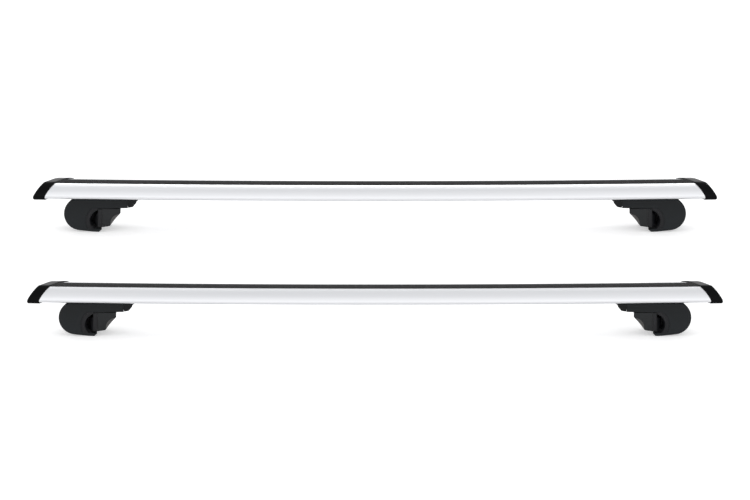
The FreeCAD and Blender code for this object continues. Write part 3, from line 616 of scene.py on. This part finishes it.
# %% Castings and coated steel
# The lighter grey on the jaws' scoop walls is a painted highlight.
moulded_finish("jaw_casting", color=(0.011, 0.0125, 0.0135), worn=(0.09, 0.088, 0.085),
               rough=(0.32, 0.45), grain=900.0, depth=0.25, wear=0.6, specular=0.3,
               soft_radius=1.2 * MM, scoop_highlight=(0.085, 0.083, 0.08))
moulded_finish("black_steel", color=(0.03, 0.03, 0.032), worn=(0.3, 0.3, 0.3),
               rough=(0.3, 0.45), grain=1200.0, depth=0.1, wear=0.8, metallic=0.8)
moulded_finish("chrome_lock", color=(0.6, 0.6, 0.61), worn=(0.8, 0.8, 0.8),
               rough=(0.12, 0.25), grain=900.0, depth=0.05, wear=0.5, metallic=1.0)


# %% Dress the CAD nodes
def dress(piece, slot_name):
    """Give a piece the finish of one of the record's material slots."""
    piece.data.materials.clear()
    piece.data.materials.append(FINISHES[slot_name])


for subpart in frame["record"]["subparts"]:
    dress(nodes[subpart["node"]], subpart["material_slot"])

# %% [markdown]
# ## The bow and the raked ends
#
# Both bars sag a little in the middle, along a circle of some forty metres, and their ends are cut
# back at a slant and lean inwards towards the top. New pieces could be bent with a modifier, but
# drawn straight, in the bar's own section, and then laid along the bow point by point, they need
# only a few numbers, which serve the strips, the bars and the caps alike.

# %% Shape of the bar
HALF_LENGTH = 600 * MM
BOW_RISE = 4.5 * MM
BOW_RADIUS = (HALF_LENGTH ** 2 + BOW_RISE ** 2) / (2 * BOW_RISE)
RAKE = math.tan(math.radians(33.5))
LEAN = math.tan(math.radians(13.5))
BAR_HEIGHT = 24.5 * MM
BAR_DEPTH = 80 * MM
BAR_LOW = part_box("front_crossbar")[0].z
print("bow radius", round(BOW_RADIUS, 2), "m, bars stand", round(BAR_LOW, 4), "m high")


def bow_at(x):
    """How far the bar stands above its middle at x."""
    return BOW_RADIUS - math.sqrt(BOW_RADIUS ** 2 - x ** 2)


def nose_y(row):
    """Y of a row's leading edge."""
    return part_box(row + "_crossbar")[0].y


# %% From a bmesh to a piece of the object
def finish_mesh(builder, name, slot_name, body, smooth_degrees, replaced=()):
    """Turn a bmesh into a piece of the object that rides on a CAD body. Flatter edges look smooth."""
    bmesh.ops.recalc_face_normals(builder, faces=builder.faces)
    mesh = bpy.data.meshes.new(name)
    builder.to_mesh(mesh)
    builder.free()
    mesh.polygons.foreach_set("use_smooth", [True] * len(mesh.polygons))
    mesh.set_sharp_from_angle(angle=math.radians(smooth_degrees))
    piece = bpy.data.objects.new(name, mesh)
    bpy.context.scene.collection.objects.link(piece)
    dress(piece, slot_name)
    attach(piece, body)
    if replaced:
        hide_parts(*replaced)
    print(name, len(mesh.polygons), "faces")


# %% Push out, bend and cut
PUSH_STEPS = 64


def push_out(row, section, setback):
    """A (y, z) outline pushed out along X in short steps, cut to the rake and laid along the bow.

    Each step leaves the face that it grew from behind. Only the first is kept, as the other end of
    the piece, because the later ones would be walls inside it.
    """
    builder = bmesh.new()
    outline = [builder.verts.new((-1.0, y, z)) for y, z in section]
    end = builder.faces.new(outline)
    for step in range(PUSH_STEPS):
        grown = bmesh.ops.extrude_face_region(builder, geom=[end])["geom"]
        if step > 0:
            bmesh.ops.delete(builder, geom=[end], context="FACES_ONLY")
        end = next(part for part in grown if isinstance(part, bmesh.types.BMFace))
        bmesh.ops.translate(builder, verts=end.verts, vec=(2.0 / PUSH_STEPS, 0, 0))
    for vertex in builder.verts:
        vertex.co.x *= HALF_LENGTH - setback - vertex.co.y * RAKE - vertex.co.z * LEAN
        vertex.co.z += BAR_LOW + bow_at(vertex.co.x)
    bmesh.ops.translate(builder, verts=builder.verts, vec=(0, nose_y(row), 0))
    return builder


# %% [markdown]
# ## Rubber strips
#
# The strip is extruded rubber. Its top is ribbed along the bar, so that a ski carrier doesn't creep,
# and a barb below holds it in the T-slot. Ribs in a bump would vanish from the outline at the ends,
# so it is made as it would be in a factory: the section is drawn once, pushed out to full length in
# many short steps, bent to the bow and cut to the rake.

# %% Top of the strip
STRIP_FRONT = 20 * MM
STRIP_WIDTH = 24 * MM
STRIP_REAR = STRIP_FRONT + STRIP_WIDTH
STRIP_MIDDLE = STRIP_FRONT + STRIP_WIDTH / 2
STRIP_LOW = BAR_HEIGHT + 0.05 * MM
STRIP_BODY = 1.0 * MM
STRIP_CROWN = 0.78 * MM
RIB_COUNT = 8
RIB_DEPTH = 0.55 * MM
RIB_SHARE = 0.68
RIB_ROUND = 0.3 * MM


def crown_at(y):
    """Height of the strip's crowned top."""
    return STRIP_LOW + STRIP_BODY + STRIP_CROWN * (1 - ((y - STRIP_MIDDLE) / (STRIP_WIDTH / 2)) ** 2)


def rib_outline(start, end):
    """One rib from its front foot over its rounded shoulders to its rear foot."""
    foot = 0.1 * RIB_ROUND
    shoulder = 0.35 * RIB_ROUND
    return [(start, crown_at(start) - RIB_DEPTH), (start + foot, crown_at(start) - RIB_ROUND),
            (start + shoulder, crown_at(start) - shoulder),
            (start + RIB_ROUND, crown_at(start + RIB_ROUND)),
            (end - RIB_ROUND, crown_at(end - RIB_ROUND)),
            (end - shoulder, crown_at(end) - shoulder),
            (end - foot, crown_at(end) - RIB_ROUND), (end, crown_at(end) - RIB_DEPTH)]


print("strip rises", round((crown_at(STRIP_MIDDLE) - BAR_HEIGHT) / MM, 2), "mm above the bar")

# %% Section of the strip
NECK = 4.8 * MM
BARB = 6.5 * MM
BARB_HIGH = BAR_HEIGHT - 2.4 * MM
BARB_LOW = BARB_HIGH - 1.6 * MM


def strip_section():
    """Closed (y, z) outline of the strip, ribs on top and barb below, seen from the bar's end."""
    pitch = STRIP_WIDTH / RIB_COUNT
    gap = (1 - RIB_SHARE) * pitch
    starts = [STRIP_FRONT + rib * pitch + gap / 2 for rib in range(RIB_COUNT)]
    ends = [STRIP_FRONT + (rib + 1) * pitch - gap / 2 for rib in range(RIB_COUNT)]
    starts[0] = STRIP_FRONT
    ends[-1] = STRIP_REAR
    outline = [(STRIP_FRONT, STRIP_LOW)]
    for start, end in zip(starts, ends):
        outline += rib_outline(start, end)
    outline += [(STRIP_REAR, STRIP_LOW), (STRIP_MIDDLE + NECK, STRIP_LOW), (STRIP_MIDDLE + NECK, BARB_HIGH),
                (STRIP_MIDDLE + BARB, BARB_HIGH), (STRIP_MIDDLE + NECK, BARB_LOW),
                (STRIP_MIDDLE - NECK, BARB_LOW), (STRIP_MIDDLE - BARB, BARB_HIGH),
                (STRIP_MIDDLE - NECK, BARB_HIGH), (STRIP_MIDDLE - NECK, STRIP_LOW)]
    return outline


print("strip section", len(strip_section()), "points")

# %% The strips
STRIP_SETBACK = 21.2 * MM

for row in ROWS:
    strip = push_out(row, strip_section(), STRIP_SETBACK)
    finish_mesh(strip, row + "_ribbed_strip", "strip_rubber", row + "_bar", smooth_degrees=30.0,
                replaced=[row + "_rubber_strip"])

# %% [markdown]
# ## Wing section of the bar
#
# The bar cuts the wind like a wing: a small round nose, a large arc up to the flat land that carries
# the strip, a long falling back and a thin round tail over a flat underside. A curve drawn by eye
# would be quicker, but arcs that meet without a kink follow the solid exactly. They can also be
# moved inwards by any amount with as many points as before, which the caps need.

# %% Arcs and their steps
NOSE_RADIUS = 4.5 * MM
BROW_RADIUS = 45 * MM
TAIL_HEIGHT = 6 * MM
TAIL_LOWER = 8 * MM
TAIL_UPPER = 40 * MM
NOSE_STEPS = 16
BROW_STEPS = 20
LAND_STEPS = 8
BACK_STEPS = 24
TAIL_STEPS = 12
UNDER_STEPS = 12


def arc_points(center, radii, start, end, count):
    """Points on an ellipse about (y, z), from one angle in degrees to another, the last left out."""
    points = []
    for step in range(count):
        turn = math.radians(start + (end - start) * step / count)
        points.append((center[0] + radii[0] * math.cos(turn), center[1] + radii[1] * math.sin(turn)))
    return points


def line_points(start, end, height, count):
    """Points on a level line, the last left out."""
    return [(start + (end - start) * step / count, height) for step in range(count)]


def brow_center():
    """Centre of the arc that leaves the nose without a kink and reaches the front of the strip."""
    run = STRIP_FRONT - NOSE_RADIUS
    rise = BAR_HEIGHT - NOSE_RADIUS
    distance = math.hypot(run, rise)
    inner = BROW_RADIUS - NOSE_RADIUS
    along = (inner ** 2 - BROW_RADIUS ** 2 + distance ** 2) / (2 * distance)
    across = math.sqrt(inner ** 2 - along ** 2)
    return (NOSE_RADIUS + (along * run + across * rise) / distance,
            NOSE_RADIUS + (along * rise - across * run) / distance)


print("centre of the brow", [round(value / MM, 2) for value in brow_center()], "mm")

# %% Wing section
def wing_section(inset):
    """Closed (y, z) outline of the bar, moved inwards by inset, always with as many points."""
    brow = brow_center()
    top = BAR_HEIGHT - inset
    nose_angle = math.degrees(math.atan2(NOSE_RADIUS - brow[1], NOSE_RADIUS - brow[0])) % 360
    brow_angle = 180 - math.degrees(math.asin((top - brow[1]) / (BROW_RADIUS - inset)))
    back_middle = BAR_DEPTH - TAIL_UPPER
    back_run = TAIL_UPPER - inset
    back_angle = math.degrees(math.acos((STRIP_REAR - back_middle) / back_run))
    back_rise = (top - TAIL_HEIGHT) / math.sin(math.radians(back_angle))
    nose_radii = (NOSE_RADIUS - inset, NOSE_RADIUS - inset)
    brow_radii = (BROW_RADIUS - inset, BROW_RADIUS - inset)
    tail_radii = (TAIL_LOWER - inset, TAIL_HEIGHT - inset)
    tail_start = BAR_DEPTH - TAIL_LOWER
    land_start = brow[0] + brow_radii[0] * math.cos(math.radians(brow_angle))
    outline = arc_points((NOSE_RADIUS, NOSE_RADIUS), nose_radii, 270, nose_angle, NOSE_STEPS)
    outline += arc_points(brow, brow_radii, nose_angle, brow_angle, BROW_STEPS)
    outline += line_points(land_start, STRIP_REAR, top, LAND_STEPS)
    outline += arc_points((back_middle, TAIL_HEIGHT), (back_run, back_rise), back_angle, 0, BACK_STEPS)
    outline += arc_points((tail_start, TAIL_HEIGHT), tail_radii, 360, 270, TAIL_STEPS)
    outline += line_points(tail_start, NOSE_RADIUS, inset, UNDER_STEPS)
    return outline


print("wing section", len(wing_section(0)), "points")

# %% [markdown]
# ## Extruded bars
#
# Satin metal shows every unevenness of a long surface, and the long thin triangles of a CAD solid
# shade unevenly. So the bar is drawn again from the same section, with the T-slot let into its top
# and the channel for the feet into its underside, and pushed out in many even steps. The closed
# chambers inside it can't be seen and are left solid.

# %% Slots of the bar
SLOT_LIP = 2.2 * MM
SLOT_MOUTH = 10 * MM
SLOT_WIDTH = 18 * MM
SLOT_DEPTH = 8 * MM
CHANNEL_MIDDLE = BAR_DEPTH / 2
CHANNEL_MOUTH = 8 * MM
CHANNEL_WIDTH = 18 * MM
CHANNEL_DEPTH = 5 * MM
ON_LINE = 1e-7


def notch(middle, mouth, width, surface, inwards, depth):
    """Outline of a slot with lips, from its front edge to its rear edge."""
    lip = surface + inwards * SLOT_LIP
    floor = lip + inwards * depth
    return [(middle - mouth / 2, surface), (middle - mouth / 2, lip), (middle - width / 2, lip),
            (middle - width / 2, floor), (middle + width / 2, floor), (middle + width / 2, lip),
            (middle + mouth / 2, lip), (middle + mouth / 2, surface)]


def slotted_section():
    """The bar's outline with both of its slots."""
    plain = wing_section(0)
    slot = notch(STRIP_MIDDLE, SLOT_MOUTH, SLOT_WIDTH, BAR_HEIGHT, -1, SLOT_DEPTH)
    channel = notch(CHANNEL_MIDDLE, CHANNEL_MOUTH, CHANNEL_WIDTH, 0.0, 1, CHANNEL_DEPTH)
    land = [k for k, point in enumerate(plain) if abs(point[1] - BAR_HEIGHT) < ON_LINE]
    under = [k for k, point in enumerate(plain) if k > land[-1] and point[1] < ON_LINE]
    return plain[:land[0] + 1] + slot + plain[land[-1] + 1:under[0] + 1] + channel[::-1]


print("slotted section", len(slotted_section()), "points")

# %% The bars
BAR_SETBACK = 5.0 * MM

for row in ROWS:
    bar = push_out(row, slotted_section(), BAR_SETBACK)
    finish_mesh(bar, row + "_extrusion", "anodised_aluminium", row + "_bar", smooth_degrees=20.0,
                replaced=[row + "_crossbar"])

# %% [markdown]
# ## End caps
#
# A cap is a glossy moulding that slips over the bar's end. Gloss shows every facet. A block with
# bevelled edges would be quick but coarse, so the cap is drawn with many small steps: rings of the
# wing section, a little larger than the bar, stacked along its raked end and drawn in towards the
# tip on a quarter circle. The rings are then bridged into a skin, which turns inwards at the rim.

# %% Rings of a cap
CAP_PROUD = 1.98 * MM
CAP_WIDTH = 21 * MM
CAP_ROUND = 3.2 * MM
CAP_LIP = 0.5 * MM
CAP_GAP = 0.1 * MM
CAP_WALL = 4.8 * MM
TIP_STEPS = 12
RIM_STEPS = 4
SIDE_SHARES = (0.35, 0.7)


def cap_rings():
    """(setback, inset) of each ring, from the middle of the tip, over the rim and back inside."""
    rings = [(0.0, CAP_ROUND - CAP_PROUD)]
    for step in range(1, TIP_STEPS + 1):
        turn = math.radians(90 * step / TIP_STEPS)
        setback = CAP_ROUND * (1 - math.cos(turn))
        rings.append((setback, CAP_ROUND * (1 - math.sin(turn)) - CAP_PROUD))
    for share in SIDE_SHARES:
        rings.append((CAP_ROUND + share * (CAP_WIDTH - CAP_LIP - CAP_ROUND), -CAP_PROUD))
    for step in range(RIM_STEPS + 1):
        turn = math.radians(90 * step / RIM_STEPS)
        setback = CAP_WIDTH - CAP_LIP * (1 - math.sin(turn))
        rings.append((setback, CAP_LIP * (1 - math.cos(turn)) - CAP_PROUD))
    rings.append((CAP_WIDTH, -CAP_GAP))
    rings.append((CAP_WALL, -CAP_GAP))
    return rings


print("cap", len(cap_rings()), "rings")

# %% Skin of a cap
CAP_SHY = 0.1 * MM
CAP_MIDDLE = HALF_LENGTH - (CAP_WIDTH + BAR_DEPTH * RAKE) / 2


def add_cap(row, side):
    """One glossy end cap, in place of its plain solid. It is straight, and climbs with the bow."""
    builder = bmesh.new()
    hand = -1 if side == "left" else 1
    lift = BAR_LOW + bow_at(CAP_MIDDLE)
    climb = CAP_MIDDLE / BOW_RADIUS
    loops = []
    for setback, inset in cap_rings():
        ring = []
        for y, z in wing_section(inset):
            x = HALF_LENGTH - CAP_SHY - setback - y * RAKE - z * LEAN
            ring.append(builder.verts.new((hand * x, y, z + lift + climb * (x - CAP_MIDDLE))))
        loops.append([builder.edges.new((ring[k - 1], ring[k])) for k in range(len(ring))])
        if len(loops) > 1:
            bmesh.ops.bridge_loops(builder, edges=loops[-2] + loops[-1])
    for loop in (loops[0], loops[-1]):
        bmesh.ops.contextual_create(builder, geom=loop)
    bmesh.ops.translate(builder, verts=builder.verts, vec=(0, nose_y(row), 0))
    name = row + "_" + side
    finish_mesh(builder, name + "_glossy_cap", "cap_plastic", row + "_bar", smooth_degrees=40.0,
                replaced=[name + "_end_cap"])


for row, side in CORNERS:
    add_cap(row, side)

# %% [markdown]
# ## Lips on the rail pad
#
# The rubber liner of the rail recess has a round lip along both of its rims. The lips are what a
# rail meets first, so they are thick and smooth. A curve with a round bevel could make one, but
# a small circle spun about the axis of the recess is closed from the start and needs no conversion.

# %% Places in a foot
FOOT_INSET = 54.5 * MM
RECESS_U = 66 * MM
RECESS_DROP = 38 * MM
FOOT_TOP = 58 * MM


def foot_x(side, u):
    """X at a distance u inwards from the outermost point of a foot."""
    x = HALF_LENGTH - FOOT_INSET - u
    return -x if side == "left" else x


def face_y(row, face):
    """Y of the front or rear face of a row's feet."""
    low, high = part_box(row + "_left_rail_pad")
    return low.y if face == "front" else high.y


print("recess of the front left foot at X", round(foot_x("left", RECESS_U), 4))

# %% Lips of the rail pad
OUTER_LIP = {"radius": 26.3 * MM, "thickness": 0.75 * MM, "start": 125, "end": 214}
INNER_LIP = {"radius": 20.6 * MM, "thickness": 0.65 * MM, "start": 110, "end": 228}
LIP_POINTS = 16
LIP_STEPS = 40


def spin_lip(builder, center, hand, radius, thickness, start, end):
    """A small disc spun about the axis of the recess, from one angle in degrees to another."""
    turn = math.radians(start)
    disc = bmesh.ops.create_circle(builder, cap_ends=True, segments=LIP_POINTS, radius=thickness)["verts"]
    lean = Matrix.Rotation(-hand * turn, 4, "Y")
    middle = center + Vector((hand * radius * math.cos(turn), 0, radius * math.sin(turn)))
    bmesh.ops.transform(builder, matrix=Matrix.Translation(middle) @ lean, verts=disc)
    edges = list({edge for vertex in disc for edge in vertex.link_edges})
    faces = list({face for vertex in disc for face in vertex.link_faces})
    bmesh.ops.spin(builder, geom=disc + edges + faces, cent=center, axis=(0, -hand, 0),
                   angle=math.radians(end - start), steps=LIP_STEPS)


def add_pad_lips(row, side, face):
    """The two round lips on one face of a rail pad."""
    builder = bmesh.new()
    hand = 1 if side == "left" else -1
    center = Vector((foot_x(side, RECESS_U), face_y(row, face), FOOT_TOP - RECESS_DROP))
    for lip in (OUTER_LIP, INNER_LIP):
        spin_lip(builder, center, hand, **lip)
    name = "_".join((row, side, "pad_lips", face))
    finish_mesh(builder, name, "pad_rubber", row + "_" + side + "_foot", smooth_degrees=50.0)


for row, side in CORNERS:
    for face in FACES:
        add_pad_lips(row, side, face)

# %% [markdown]
# ## Rib on the jaw pad
#
# The jaw's rubber face ends in a rounded rib at the front and at the rear. A stretched ball would
# be too pointed, so ovals are stacked along its height. They keep nearly their full size until
# close to the ends and are then drawn in, as on a moulding with blunt ends.

# %% Ribs of the jaw pad
JAW_RIB_U = (60.8 * MM, 67.8 * MM)
JAW_RIB_DROP = (17.4 * MM, 49.0 * MM)
JAW_RIB_PROUD = 1.5 * MM
JAW_RIB_RINGS = 24
JAW_RIB_POINTS = 28
JAW_RIB_BLUNTNESS = 0.25
JAW_RIB_TIP = 0.05
JAW_RIB_TIP_WIDTH = 0.6


def jaw_rib_ring(builder, middle, y, ring):
    """One oval of a rib, as its edges."""
    turn = math.pi * ring / JAW_RIB_RINGS
    share = math.sin(turn) ** JAW_RIB_BLUNTNESS if 0 < ring < JAW_RIB_RINGS else JAW_RIB_TIP
    drop = JAW_RIB_DROP[0] + (JAW_RIB_DROP[1] - JAW_RIB_DROP[0]) * (1 - math.cos(turn)) / 2
    width = (JAW_RIB_U[1] - JAW_RIB_U[0]) / 2 * (JAW_RIB_TIP_WIDTH + (1 - JAW_RIB_TIP_WIDTH) * share)
    oval = bmesh.ops.create_circle(builder, segments=JAW_RIB_POINTS, radius=1.0)["verts"]
    size = Matrix.Diagonal((width, JAW_RIB_PROUD * share, 1, 1))
    place = Matrix.Translation((middle, y, FOOT_TOP - drop))
    bmesh.ops.transform(builder, matrix=place @ size, verts=oval)
    return list({edge for vertex in oval for edge in vertex.link_edges})


def add_jaw_rib(row, side, face):
    """The rounded end of the jaw's rubber face."""
    builder = bmesh.new()
    middle = foot_x(side, sum(JAW_RIB_U) / 2)
    y = face_y(row, face)
    rings = [jaw_rib_ring(builder, middle, y, ring) for ring in range(JAW_RIB_RINGS + 1)]
    for first, second in zip(rings, rings[1:]):
        bmesh.ops.bridge_loops(builder, edges=first + second)
    bmesh.ops.contextual_create(builder, geom=rings[0])
    bmesh.ops.contextual_create(builder, geom=rings[-1])
    name = "_".join((row, side, "jaw_rib", face))
    finish_mesh(builder, name, "pad_rubber", row + "_" + side + "_jaw", smooth_degrees=60.0)


for row, side in CORNERS:
    for face in FACES:
        add_jaw_rib(row, side, face)

# %% [markdown]
# ## Spigot of the arm
#
# The key cover closes against the end of the arm, and a thin spigot stands out of the arm just inside
# the cover's walls, so that no light or water gets through the joint. A full sleeve would meet the
# cover as it swings. So it is an angle of two thin walls, pushed out from its outline and bevelled,
# and it stays on the foot when the cover opens.

# %% Spigots
SPIGOT_U = (109.0 * MM, 113.4 * MM)
SPIGOT_DROP = (3.4 * MM, 12.2 * MM)
SPIGOT_IN = 2.8 * MM
SPIGOT_WALL = 1.1 * MM
SPIGOT_RUN = 14.0 * MM
SPIGOT_BEVEL = 0.25 * MM


def spigot_outline(row):
    """(y, z) outline of the angle: a short upright wall in front and a long level one on top."""
    front = face_y(row, "front") + SPIGOT_IN
    rear = front + SPIGOT_RUN
    top, bottom = (FOOT_TOP - drop for drop in SPIGOT_DROP)
    under = top - SPIGOT_WALL
    behind = front + SPIGOT_WALL
    return [(front, bottom), (front, top), (rear, top), (rear, under), (behind, under), (behind, bottom)]


def add_spigot(row, side):
    """The angle-shaped spigot in the arm of one foot."""
    builder = bmesh.new()
    start, end = sorted(foot_x(side, u) for u in SPIGOT_U)
    angle = builder.faces.new([builder.verts.new((start, y, z)) for y, z in spigot_outline(row)])
    grown = bmesh.ops.extrude_face_region(builder, geom=[angle])["geom"]
    moved = [part for part in grown if isinstance(part, bmesh.types.BMVert)]
    bmesh.ops.translate(builder, verts=moved, vec=(end - start, 0, 0))
    bmesh.ops.bevel(builder, geom=builder.edges[:], offset=SPIGOT_BEVEL, segments=2, profile=0.5,
                    affect="EDGES", material=-1)
    foot = row + "_" + side
    finish_mesh(builder, foot + "_arm_spigot", "foot_plastic", foot + "_foot", smooth_degrees=40.0)


for row, side in CORNERS:
    add_spigot(row, side)
